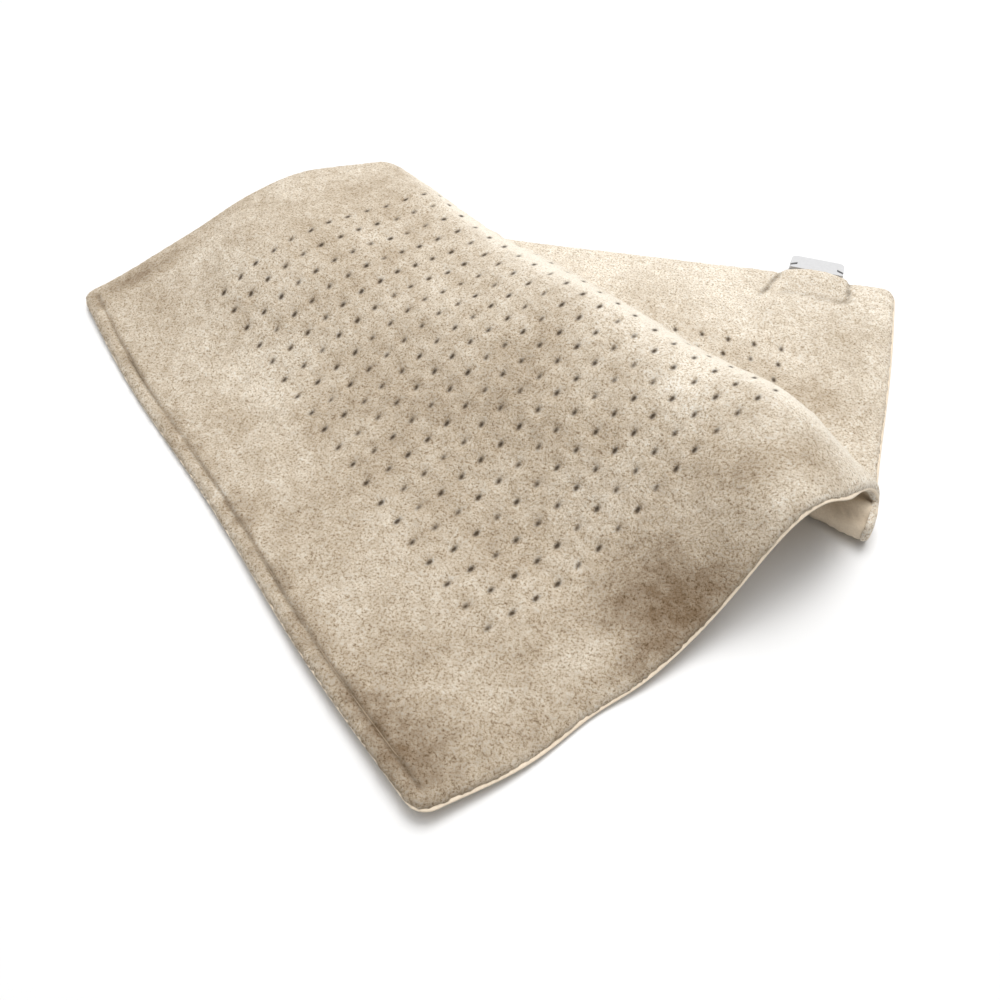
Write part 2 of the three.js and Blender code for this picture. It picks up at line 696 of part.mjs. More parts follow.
// Leads from the heating wire to the socket
const socketPoint = (x, y, z) => new THREE.Vector3(x, y, z).add(socketSpot)
const longLead = [
  border(borderAt, fuseAt + fuseWidth / 2 + 0.5),
  border(borderAt, fuseAt + 8),
  border(leadAt, fuseAt + 14),
  border(leadAt, secondAt),
  border(leadAt, firstAt - 12),
  border(leadAt, socketAt - leadX - 4),
  socketPoint(-leadX, -tongueDepth - 2.2, 0.1),
  socketPoint(-leadX, -tongueDepth + 1, socketSplit),
  socketPoint(-leadX, mouthBack - 0.3, socketSplit)
]
add(pad, 'lead_wire_long', tube(longLead, leadRadius, 6), wireSleeve)
const shortLead = [
  border(borderAt, firstAt + limiterWidth / 2 + 0.5),
  border(borderAt, socketAt + 1),
  socketPoint(leadX, -tongueDepth - 3, 0.1),
  socketPoint(leadX, -tongueDepth + 1, socketSplit),
  socketPoint(leadX, mouthBack - 0.3, socketSplit)
]
add(pad, 'lead_wire_short', tube(shortLead, leadRadius, 6), wireSleeve)

// Origin: under the middle of the whole object, on the floor
const heatingPad = new THREE.Group()
heatingPad.add(pad, socket)
heatingPad.updateMatrixWorld(true)
const box = new THREE.Box3().setFromObject(heatingPad, true)
heatingPad.position.set(-(box.min.x + box.max.x) / 2, -(box.min.y + box.max.y) / 2, -box.min.z)

export default heatingPad
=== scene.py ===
import math
import bpy
import numpy as np
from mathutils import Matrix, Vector


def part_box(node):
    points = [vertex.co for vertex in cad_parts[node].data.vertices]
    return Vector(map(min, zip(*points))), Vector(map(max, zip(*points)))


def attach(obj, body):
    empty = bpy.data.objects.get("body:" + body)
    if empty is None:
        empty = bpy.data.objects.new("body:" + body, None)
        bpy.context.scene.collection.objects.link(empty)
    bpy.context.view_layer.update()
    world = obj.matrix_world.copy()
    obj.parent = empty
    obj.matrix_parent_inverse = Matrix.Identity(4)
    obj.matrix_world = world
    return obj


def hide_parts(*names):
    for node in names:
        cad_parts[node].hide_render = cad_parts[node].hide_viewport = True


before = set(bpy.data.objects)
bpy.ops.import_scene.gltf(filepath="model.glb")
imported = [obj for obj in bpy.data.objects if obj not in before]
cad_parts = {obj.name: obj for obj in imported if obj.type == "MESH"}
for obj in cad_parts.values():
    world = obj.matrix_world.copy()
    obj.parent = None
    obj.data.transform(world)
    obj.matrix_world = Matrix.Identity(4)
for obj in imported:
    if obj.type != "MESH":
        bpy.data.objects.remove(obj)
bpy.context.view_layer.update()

# The pad laid flat, in millimetres: u along its length, v across it, n over its middle surface
MM = 0.001
PAD_L, PAD_W, REST = 381.0, 305.0, 2.0
PLUSH_TOP, BACK_BOTTOM = 3.15, -2.0
CORNER = 6.5
# Bends from the near short end to the far one: middle, half width, turn in degrees
BENDS = ((48.0, 72.3, 23.7), (169.9, 26.0, -63.3), (197.6, 15.6, -138.4), (260.8, 14.6, 183.7))
# Slant of the bending lines in degrees, at distances along the middle
SLANTS = ((0, 4.3), (48, 9.1), (169.9, 4.5), (188.3, 11.5), (207, 5.9), (252.8, -9.2), (268.9, -10.6))
SLANT_BLEND = 12
# Soft sags of the front part: u, v, spread in u, spread in v, height
SAGS = ((130, 0, 40, 60, -6.6), (95, 250, 45, 45, -6.3), (60, 305, 40, 45, -4.1), (40, 0, 40, 60, 5.6),
        (83, 40, 42, 56, 12.2), (105, 305, 35, 45, -1.9), (150, 150, 40, 70, 3.5))
# Where the cloth gives way from the plain pleat: u, v, spreads, and shifts along x, y and z
DRAPES = ((20, 150, 70, 170, 4.1, -6.3, -2),
          (0, 60, 45, 60, -0.2, -3.6, -0.7),
          (0, 240, 45, 60, -5, 0.9, 0.2),
          (70, 0, 45, 50, 3.6, 3, -1),
          (62, 0, 22, 40, 0, 0, -1.4),
          (122, 0, 22, 40, 0, 0, 3.5),
          (160, 0, 34, 42, 12.9, 3.1, -10.4),
          (157, 100, 31, 60, 2.8, -6.8, -9.2),
          (155, 305, 30, 45, -2.8, -1, 13),
          (188, 305, 20, 40, -3, -5.4, -6.4),
          (193, 270, 22, 34, 0, 1.1, 11.2),
          (212, 305, 20, 40, -6, -2, 2.7),
          (240, 305, 32, 45, 0.5, -4.5, -0.8),
          (70, 305, 50, 60, 3.5, 1.2, 2.9),
          (60, 305, 16, 30, -1.3, 2.2, 0),
          (0, 305, 22, 34, -1.8, 1.7, 0),
          (335, 305, 60, 60, 2.1, 0, 0))
# Reach of the far short end past its square line, at shares of the width, and where that begins
END_LINE = ((0, -25), (0.46, -11), (0.59, -5.5), (0.76, 1), (0.83, 4.5), (0.95, 5), (1, 8))
END_RAMP, END_BLEND = 96, 0.05
# Quilting dots: first place and pitch, with how many along and across
DOT_U, DOT_V, DOT_PU, DOT_PV, DOT_NU, DOT_NV = 53.1, 52.0, 9.715, 11.494, 29, 19
# Each dot is a short leaning stroke: half length, half width, lean and how far it strays
DOT_LONG, DOT_WIDE, DOT_LEAN, DOT_STRAY = 1.4, 0.84, 0.25, 0.7
DIMPLE_DEPTH, DIMPLE_SPREAD = 0.95, 2.8
SOCKET_V, SOCKET_FRONT = 268.0, 10.2
rng = np.random.default_rng(7)


def smooth(x, a, b):
    t = np.clip((x - a) / (b - a), 0, 1)
    return t * t * (3 - 2 * t)


TABLE = rng.random((64, 256, 256))


def ripple(x, y, size, seed):
    """Smooth noise from -1 to 1 with bumps about size across."""
    x, y = x / size + 31.7 * seed, y / size + 17.3 * seed
    i, j = np.floor(x).astype(int), np.floor(y).astype(int)
    fx, fy = x - i, y - j
    fx, fy = fx * fx * (3 - 2 * fx), fy * fy * (3 - 2 * fy)
    t = TABLE[seed % 64]
    a = t[i % 256, j % 256] * (1 - fx) + t[(i + 1) % 256, j % 256] * fx
    b = t[i % 256, (j + 1) % 256] * (1 - fx) + t[(i + 1) % 256, (j + 1) % 256] * fx
    return 2 * (a * (1 - fy) + b * fy) - 1


# The fold: the pad is bent along straight lines, strip by strip
def slant(t):
    """Slant of the bending line that crosses the middle at t, in radians, with soft changes."""
    steps = np.linspace(-SLANT_BLEND, SLANT_BLEND, 9)
    at, deg = zip(*SLANTS)
    return np.radians(np.interp(np.asarray(t)[..., None] + steps, at, deg).mean(-1))


def share(c, h, t):
    """Share of a bend's turn that is made by t, for a bend of half width h around c."""
    s = np.clip((t - c) / h, -1, 1)
    return 0.5 * (1 + s + np.sin(np.pi * s) / np.pi)


# Width of a strip, how many there are, and how far past the pad's ends the bending lines go on
STEP = 0.5
COUNT = round(PAD_L / STEP)
LINE_PAST = 80
LINE_T = np.arange(-LINE_PAST, PAD_L + LINE_PAST, STEP / 2)
LINE_TAN = np.tan(slant(LINE_T))


def fold_frames():
    """Rotation and offset at each strip's edge, with the far end lying flat."""
    turns = np.zeros(COUNT)
    t = (np.arange(COUNT) + 0.5) * STEP
    for c, h, angle in BENDS:
        turns += np.radians(angle) * (share(c, h, t + STEP / 2) - share(c, h, t - STEP / 2))
    s = slant(t)
    rot, off = [np.eye(3)], [np.zeros(3)]
    for i in range(COUNT):
        a = -turns[i]
        x, y = math.sin(s[i]), math.cos(s[i])
        k = np.array([[0, 0, y], [0, 0, -x], [-y, x, 0]])
        m = np.eye(3) + math.sin(a) * k + (1 - math.cos(a)) * k @ k
        q = np.array([t[i], PAD_W / 2, 0])
        off.append(off[-1] + rot[-1] @ (q - m @ q))
        rot.append(rot[-1] @ m)
    basis = np.array([[0, 1, 0], [1, 0, 0], [0, 0, 1.0]])
    rot, off = np.array(rot), np.array(off)
    world = basis @ rot[-1].T
    return np.einsum("ij,njk->nik", world, rot), (off - off[-1]) @ world.T


ROT, OFF = fold_frames()


def bend(u, v, n):
    """The flat pad's points after bending, each between the strips on both sides of its bending line."""
    low, high = np.full(u.shape, 1.0 - LINE_PAST), np.full(u.shape, PAD_L + LINE_PAST - 1)
    for _ in range(34):
        t = (low + high) / 2
        less = t + np.interp(t, LINE_T, LINE_TAN) * (v - PAD_W / 2) < u
        low, high = np.where(less, t, low), np.where(less, high, t)
    f = np.clip((low + high) / 2 / STEP, 0, COUNT - 1e-6)
    k = f.astype(int)
    w = (f - k)[:, None]
    p = np.stack([u, v, n], 1)
    a = np.einsum("nij,nj->ni", ROT[k], p) + OFF[k]
    b = np.einsum("nij,nj->ni", ROT[k + 1], p) + OFF[k + 1]
    return a * (1 - w) + b * w


ORIGIN = bend(np.array([PAD_L]), np.array([PAD_W]), np.array([0.0]))[0] - np.array([PAD_W, PAD_L, 0.0])


def end_reach(u, v):
    """The far short end runs askew, gently curved."""
    at, reach = zip(*END_LINE)
    steps = np.linspace(-END_BLEND, END_BLEND, 9)
    return smooth(u, PAD_L - END_RAMP, PAD_L) * np.interp(v[:, None] / PAD_W + steps, at, reach).mean(1)


def fold(u, v, n):
    """Millimetres before the part's shift to its origin, for points of the flat pad."""
    u = u + end_reach(u, v)
    sag = np.zeros_like(u)
    give = np.zeros((len(u), 3))
    for a, b, su, sv, h in SAGS:
        sag += h * np.exp(-((u - a) / su) ** 2 - ((v - b) / sv) ** 2)
    for a, b, su, sv, *xyz in DRAPES:
        give += np.exp(-((u - a) / su) ** 2 - ((v - b) / sv) ** 2)[:, None] * np.array(xyz)
    middle = bend(u, v, sag) - ORIGIN + give
    p = bend(u, v, n + sag) - ORIGIN + give
    p[:, 2] += REST + np.maximum(0, -middle[:, 2])
    return p


# The socket, which stands in the middle of the far end's pocket, gives the shift to the part's origin
socket_low, socket_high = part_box("socket_lower_shell")
SOCKET_SPOT = fold(np.array([PAD_L]), np.array([SOCKET_V]), np.array([0.0]))[0]
SOCKET_X = (socket_low[0] + socket_high[0]) / 2 / MM
SOCKET_Y = socket_high[1] / MM - SOCKET_FRONT
SHIFT = np.array([SOCKET_X, SOCKET_Y, REST]) - SOCKET_SPOT


def place(u, v, n):
    """Metres in the part's frame, for points of the flat pad."""
    return (fold(u, v, n) + SHIFT) * MM


def edge_distance(u, v):
    """How far a point of the flat pad lies inside its outline with rounded corners."""
    qx = np.abs(u - PAD_L / 2) - PAD_L / 2 + CORNER
    qy = np.abs(v - PAD_W / 2) - PAD_W / 2 + CORNER
    return CORNER - np.minimum(np.maximum(qx, qy), 0) - np.hypot(np.maximum(qx, 0), np.maximum(qy, 0))


MARGIN = 24


def pad_mesh(name, step, rings, height):
    """A sheet of the pad: a grid up to MARGIN from the edge, and rings (distances from it) around that."""
    nu = round((PAD_L - 2 * MARGIN) / step)
    nv = round((PAD_W - 2 * MARGIN) / step)
    along = np.linspace(MARGIN, PAD_L - MARGIN, nu + 1)
    across = np.linspace(MARGIN, PAD_W - MARGIN, nv + 1)
    gu, gv = np.meshgrid(along, across, indexing="ij")
    grid = np.arange((nu + 1) * (nv + 1)).reshape(nu + 1, nv + 1)
    around = np.concatenate([grid[:-1, 0], grid[-1, :-1], grid[:0:-1, -1], grid[0, :0:-1]])
    u, v = [gu.ravel()], [gv.ravel()]
    iu, iv = gu.ravel()[around], gv.ravel()[around]
    sx = (iu - PAD_L / 2) / (PAD_L / 2 - MARGIN)
    sy = (iv - PAD_W / 2) / (PAD_W / 2 - MARGIN)
    faces = [np.stack([grid[:-1, :-1], grid[1:, :-1], grid[1:, 1:], grid[:-1, 1:]], -1).reshape(-1, 4)]
    last = around
    base = grid.size
    for d in rings:
        # points on the rounded rectangle at distance d inside the edge
        hx, hy, r = PAD_L / 2 - d, PAD_W / 2 - d, max(CORNER - d, 0.01)
        px, py = sx * hx, sy * hy
        cx, cy = np.abs(px) - hx + r, np.abs(py) - hy + r
        corner = (cx > 0) & (cy > 0)
        pull = np.where(corner, np.maximum(cx, cy) / np.maximum(np.hypot(cx, cy), 1e-9), 1)
        px = np.where(corner, np.sign(px) * (hx - r + cx * pull), px)
        py = np.where(corner, np.sign(py) * (hy - r + cy * pull), py)
        u.append(px + PAD_L / 2)
        v.append(py + PAD_W / 2)
        ring = base + np.arange(len(around))
        faces.append(np.stack([last, ring, np.roll(ring, -1), np.roll(last, -1)], -1))
        last = ring
        base += len(around)
    ring_no = np.repeat(np.arange(len(rings) + 1), [grid.size] + [len(around)] * len(rings))
    u, v = np.concatenate(u), np.concatenate(v)
    u, v, n, marks = height(u, v, ring_no)
    mesh = bpy.data.meshes.new(name)
    mesh.from_pydata(place(u, v, n).tolist(), [], np.concatenate(faces)[:, ::-1].tolist())
    for key, value in marks.items():
        mesh.attributes.new(key, "FLOAT", "POINT").data.foreach_set("value", value.astype(np.float32))
    mesh.polygons.foreach_set("use_smooth", np.ones(len(mesh.polygons), bool))
    mesh.update()
    obj = bpy.data.objects.new(name, mesh)
    bpy.context.collection.objects.link(obj)
    return obj


# Node materials
def material(name, base, rough, metal=0.0):
    m = bpy.data.materials.new(name)
    m.use_nodes = True
    nodes, links = m.node_tree.nodes, m.node_tree.links
    shader = nodes["Principled BSDF"]
    shader.inputs["Base Color"].default_value = (*base, 1)
    shader.inputs["Roughness"].default_value = rough
    shader.inputs["Metallic"].default_value = metal
    return m, nodes, links, shader


def noise_node(nodes, links, scale, detail, rough=0.5):
    coords = nodes.new("ShaderNodeTexCoord")
    tex = nodes.new("ShaderNodeTexNoise")
    tex.inputs["Scale"].default_value = scale
    tex.inputs["Detail"].default_value = detail
    tex.inputs["Roughness"].default_value = rough
    links.new(coords.outputs["Object"], tex.inputs["Vector"])
    return tex


def ramp_node(nodes, links, source, stops):
    ramp = nodes.new("ShaderNodeValToRGB")
    while len(ramp.color_ramp.elements) < len(stops):
        ramp.color_ramp.elements.new(0.5)
    for element, (at, colour) in zip(ramp.color_ramp.elements, stops):
        element.position = at
        element.color = (*colour, 1)
    links.new(source, ramp.inputs["Fac"])
    return ramp


def mix_node(nodes, links, mode, factor, a, b):
    mix = nodes.new("ShaderNodeMix")
    mix.data_type = "RGBA"
    mix.blend_type = mode
    for socket, value in ((0, factor), (6, a), (7, b)):
        if isinstance(value, (float, int)):
            mix.inputs[socket].default_value = value
        elif isinstance(value, tuple):
            mix.inputs[socket].default_value = (*value, 1)
        else:
            links.new(value, mix.inputs[socket])
    return mix.outputs[2]


def bump_node(nodes, links, shader, height, distance, strength):
    bump = nodes.new("ShaderNodeBump")
    bump.inputs["Distance"].default_value = distance
    bump.inputs["Strength"].default_value = strength
    links.new(height, bump.inputs["Height"])
    links.new(bump.outputs["Normal"], shader.inputs["Normal"])


def attribute(nodes, name):
    node = nodes.new("ShaderNodeAttribute")
    node.attribute_name = name
    return node.outputs["Fac"]


def calc(nodes, links, operation, *values):
    """One math node; values are sockets or numbers."""
    node = nodes.new("ShaderNodeMath")
    node.operation = operation
    for socket, value in zip(node.inputs, values):
        if isinstance(value, (float, int)):
            socket.default_value = value
        else:
            links.new(value, socket)
    return node.outputs[0]


def quilting_dots(nodes, links):
    """About 1 in the middle of a quilting dot and 0 away from it, from the cloth's flat coordinates."""
    def do(operation, *values):
        return calc(nodes, links, operation, *values)

    u, v = attribute(nodes, "flat_u"), attribute(nodes, "flat_v")
    cell = []
    for x, first, pitch, count in ((u, DOT_U, DOT_PU, DOT_NU), (v, DOT_V, DOT_PV, DOT_NV)):
        k = do("ROUND", do("DIVIDE", do("SUBTRACT", x, first), pitch))
        cell.append(do("MINIMUM", do("MAXIMUM", k, 0.0), count - 1.0))
    vector = nodes.new("ShaderNodeCombineXYZ")
    links.new(cell[0], vector.inputs[0])
    links.new(cell[1], vector.inputs[1])
    chance = nodes.new("ShaderNodeTexWhiteNoise")
    chance.noise_dimensions = "2D"
    links.new(vector.outputs[0], chance.inputs["Vector"])
    parts = nodes.new("ShaderNodeSeparateColor")
    links.new(chance.outputs["Color"], parts.inputs[0])
    off = []
    for x, k, first, pitch, r in ((u, cell[0], DOT_U, DOT_PU, 0), (v, cell[1], DOT_V, DOT_PV, 1)):
        middle = do("MULTIPLY_ADD", parts.outputs[r], DOT_STRAY, first - DOT_STRAY / 2)
        off.append(do("SUBTRACT", do("SUBTRACT", x, do("MULTIPLY", k, pitch)), middle))
    # a short stroke, longer along the pad than across it
    a = do("DIVIDE", do("MULTIPLY_ADD", off[1], -DOT_LEAN, off[0]), DOT_LONG)
    b = do("DIVIDE", do("MULTIPLY_ADD", off[0], DOT_LEAN, off[1]), DOT_WIDE)
    a, b = do("POWER", do("ABSOLUTE", a), 2.0), do("POWER", do("ABSOLUTE", b), 2.0)
    spot = do("EXPONENT", do("MULTIPLY", do("ADD", a, b), -1.0))
    return do("MULTIPLY", spot, do("MULTIPLY_ADD", parts.outputs[2], 0.5, 0.65))


# Plush colours: the grain's ramp, the nap's ramp that also carries painted shade, the painted highlight
# along the crest, and the painted shade in the dots' dimples and in the grooves of the hem and pocket
# seams
SPECKLE = ((0.36, (0.32, 0.24, 0.16)), (0.445, (0.73, 0.635, 0.51)),
           (0.51, (0.96, 0.88, 0.76)), (0.60, (1.0, 0.99, 0.95)))
NAP_SHADE_RAMP = ((0.0, (0.28, 0.212, 0.149)), (0.5, (0.64, 0.577, 0.50)), (1.0, (1.0, 0.978, 0.94)))
CREST_HIGHLIGHT, DOT_SHADE, GROOVE_SHADE = (0.98, 0.91, 0.79), (0.062, 0.041, 0.024), (0.13, 0.095, 0.06)


def plush_material():
    m, nodes, links, shader = material("micro_plush", (0.6, 0.5, 0.37), 0.95)
    shader.inputs["Sheen Weight"].default_value = 0.16
    shader.inputs["Sheen Roughness"].default_value = 0.4
    shader.inputs["Sheen Tint"].default_value = (1.0, 0.87, 0.71, 1)
    shader.inputs["Specular IOR Level"].default_value = 0.05
    grain = noise_node(nodes, links, 1100, 5.0, 0.8)
    speckle = ramp_node(nodes, links, grain.outputs["Fac"], SPECKLE)
    # nap: where the pile leans, lighter or darker at random, added to the painted shade and painted
    # highlight that the mesh attribute carries
    patchy = noise_node(nodes, links, 34, 3.0, 0.6)
    nap_and_shade = calc(nodes, links, "MULTIPLY_ADD", patchy.outputs["Fac"], 0.62, attribute(nodes, "nap_and_shade"))
    tufts = noise_node(nodes, links, 230, 2.0)
    lean = calc(nodes, links, "SUBTRACT", tufts.outputs["Fac"], 0.5)
    nap_and_shade = calc(nodes, links, "MULTIPLY_ADD", lean, 0.5, nap_and_shade)
    nap_shade_ramp = ramp_node(nodes, links, nap_and_shade, NAP_SHADE_RAMP)
    colour = mix_node(nodes, links, "MULTIPLY", 1.0, speckle.outputs["Color"], nap_shade_ramp.outputs["Color"])
    # painted highlight along the crest, where the pile stands open
    colour = mix_node(nodes, links, "MIX", attribute(nodes, "crest_highlight"), colour, CREST_HIGHLIGHT)
    dots = quilting_dots(nodes, links)
    # painted shade in the dimples of the quilting dots
    dot_shade = calc(nodes, links, "MINIMUM", calc(nodes, links, "MULTIPLY", dots, 1.15), 0.92)
    colour = mix_node(nodes, links, "MIX", dot_shade, colour, DOT_SHADE)
    # painted shade in the hem's groove and along the pocket seams
    colour = mix_node(nodes, links, "MIX", attribute(nodes, "dark"), colour, GROOVE_SHADE)
    links.new(colour, shader.inputs["Base Color"])
    pile = calc(nodes, links, "MULTIPLY", grain.outputs["Fac"], 0.7)
    bump_node(nodes, links, shader, calc(nodes, links, "SUBTRACT", pile, dots), 0.0013, 0.9)
    return m


def fabric_material(name, light, dark, weave, shade=None):
    m, nodes, links, shader = material(name, light, 0.85)
    shader.inputs["Sheen Weight"].default_value = 0.15
    shader.inputs["Specular IOR Level"].default_value = 0.2
    tex = noise_node(nodes, links, weave, 2.0)
    ramp = ramp_node(nodes, links, tex.outputs["Fac"], [(0.3, dark), (0.7, light)])
    colour = ramp.outputs["Color"]
    if shade:
        colour = mix_node(nodes, links, "MULTIPLY", attribute(nodes, shade), colour, (0.45, 0.40, 0.35))
    links.new(colour, shader.inputs["Base Color"])
    bump_node(nodes, links, shader, tex.outputs["Fac"], 0.0002, 0.5)
    return m


def moulded_material(name, colour, rough, metal=0.0):
    m, nodes, links, shader = material(name, colour, rough, metal)
    tex = noise_node(nodes, links, 900, 2.0)
    low = tuple(c * 0.94 for c in colour)
    ramp = ramp_node(nodes, links, tex.outputs["Fac"], [(0.35, low), (0.65, colour)])
    links.new(ramp.outputs["Color"], shader.inputs["Base Color"])
    bump_node(nodes, links, shader, tex.outputs["Fac"], 0.00004, 0.3)
    return m


PLUSH = plush_material()
# the smooth back gets painted shade along its creases at the arch
BACKING = fabric_material("smooth_back_knit", (0.86, 0.74, 0.58), (0.77, 0.65, 0.50), 1400, "crease_shade")
FELT = fabric_material("needle_felt", (0.82, 0.79, 0.72), (0.70, 0.67, 0.60), 500)
THREAD = fabric_material("thread", (0.42, 0.33, 0.23), (0.33, 0.25, 0.17), 2500)
WHITE = moulded_material("white_plastic", (0.585, 0.585, 0.59), 0.42)
GREY = moulded_material("grey_plastic", (0.54, 0.54, 0.56), 0.45)
DARK = moulded_material("dark_plastic", (0.045, 0.045, 0.048), 0.5)
STEEL = moulded_material("steel", (0.60, 0.61, 0.63), 0.32, 1.0)
BRASS = moulded_material("brass", (0.72, 0.50, 0.20), 0.30, 1.0)
SLEEVE = moulded_material("wire_sleeve", (0.70, 0.67, 0.60), 0.55)

# Plush cover: its rings, as distances from the edge, and its height at distances from the edge
RINGS = (20, 16.5, 13.5, 11, 9.4, 8.2, 7.3, 6.6, 6.0, 5.4, 4.8,
         4.1, 3.4, 2.7, 2.0, 1.4, 0.9, 0.5, 0.22, 0.06, 0.0)
EDGE_D = (0, 0.06, 0.22, 0.5, 0.9, 1.4, 2.0, 2.7, 3.4, 5.4, 9, 14)
EDGE_N = (-0.3, 0.35, 0.8, 1.2, 1.6, 1.95, 2.2, 2.4, 2.55, 2.8, 3.0, PLUSH_TOP)
# Where the pile lies lighter or darker, with painted shade and painted light where the cloth's undulations
# turn from or to the light, and painted shade behind the crest: u, v, spreads, turn in degrees and amount
NAP_AND_SHADE_PATCHES = ((35, 55, 30, 35, 0, -0.03), (33, 105, 28, 50, 0, 0.10), (95, 195, 38, 50, 0, -0.16),
        (102, 284, 25, 19, 0, -0.38), (118, 300, 26, 11, 0, -0.30), (64, 287, 20, 7, 12, 0.22),
        (80, 299, 26, 6, 0, -0.14), (40, 283, 24, 18, 0, -0.16), (36, 274, 10, 10, 0, 0.14),
        (8, 292, 14, 20, 0, -0.32), (5, 250, 11, 45, 0, -0.20), (105, 18, 50, 22, 0, 0.09),
        (26, 10, 24, 5, 8, -0.32), (52, 22, 14, 8, 0, 0.12), (178, 290, 13, 12, 0, -0.38),
        (157, 282, 12, 9, 0, -0.28), (192, 298, 6, 10, 0, 0.16), (320, 285, 40, 30, 0, -0.21),
        (296, 266, 15, 34, 0, -0.26), (332, 212, 15, 40, 30, -0.18), (30, 117, 8, 10, 0, -0.12),
        (68, 28, 10, 6, 0, -0.14), (128, 288, 9, 10, 0, 0.14), (176, 262, 14, 18, 0, -0.26))
# The crest of the ridge, where the pile stands open and a painted highlight runs along it: v and u, and
# its half width
CREST = ((48, 170), (106, 173), (149, 174), (194, 181), (233, 188), (262, 191), (277, 198), (300, 206))
CREST_HALF = 6.0
# At the arch the plush rolls round the near long edge: distance from it and height of the last rings
ROLL_D = (4.1, 2.6, 1.5, 0.7, 0.2, 0.0, 0.35, 1.1, 2.1, 3.0)
ROLL_N = (2.65, 2.5, 2.1, 1.3, 0.3, -0.8, -1.8, -2.5, -2.75, -2.45)
ROLL_RING = len(RINGS) + 1 - len(ROLL_D)
# Top-stitched hem of the near short end: distance from it, half width and depth of the groove
HEM_AT, HEM_HALF, HEM_DEPTH = 5.6, 1.1, 0.85
# Pocket over the socket: half width, where it begins and is full before the far end, and its heights
POCKET_HALF, POCKET_FROM, POCKET_FULL, POCKET_PUFF = 16.5, 16, 6, 2.6
LIP_DEPTH, LIP_PUFF = 9, 1.9
# Its seams: left and right in v, the left one's slant, the foot before the far end, and their depth
SEAM_LEFT, SEAM_RIGHT, SEAM_SLANT, SEAM_FOOT, SEAM_DEPTH = 252.5, 284.0, 0.32, 16.5, 1.3


def roll_at(u):
    """How far the plush rolls round the near long edge, along the arch."""
    return smooth(u, 184, 199) * (1 - smooth(u, 236, 248))


def crest_highlight_at(u, v):
    """How strong the painted highlight is along the crest, where the pile stands open."""
    at, crest = zip(*CREST)
    return np.exp(-((u - np.interp(v, at, crest)) / CREST_HALF) ** 2) * (1 - 0.6 * smooth(v, 283, 303))


def nap_and_shade_at(u, v):
    """How light the pile lies, with painted shade that makes the front part darker than the part beyond
    the ridge: dark at 0 and light at 1.
    """
    total = 0.265 + 0.34 * smooth(u, 140, 186)
    for a, b, su, sv, turn, amount in NAP_AND_SHADE_PATCHES:
        c, s = math.cos(math.radians(turn)), math.sin(math.radians(turn))
        x, y = (u - a) * c + (v - b) * s, (v - b) * c - (u - a) * s
        total = total + amount * np.exp(-(x / su) ** 2 - (y / sv) ** 2)
    return total


def pocket_at(u, v):
    """The pocket that the socket is sewn into, puffed up at the far end."""
    across = np.clip(1 - ((v - SOCKET_V) / POCKET_HALF) ** 2, 0, 1) ** 0.7
    return across * smooth(u, PAD_L - POCKET_FROM, PAD_L - POCKET_FULL)


def pocket_seams(u, v):
    """Stitched lines round the pocket."""
    to_end = PAD_L - u
    left = np.exp(-((v - SEAM_LEFT + SEAM_SLANT * to_end) / 1.4) ** 2) * smooth(u, PAD_L - 26, PAD_L - 19)
    right = np.exp(-((v - SEAM_RIGHT) / 1.2) ** 2) * smooth(u, PAD_L - 19, PAD_L - 15)
    foot = np.exp(-((to_end - SEAM_FOOT) / 1.3) ** 2) * smooth(v, 251, 256) * (1 - smooth(v, 281, 285))
    foot = foot * (0.45 + 0.35 * smooth(v, 266, 282))
    return np.maximum(np.maximum(left, right), foot) * (0.85 + 0.3 * ripple(u, v, 3.5, 14))


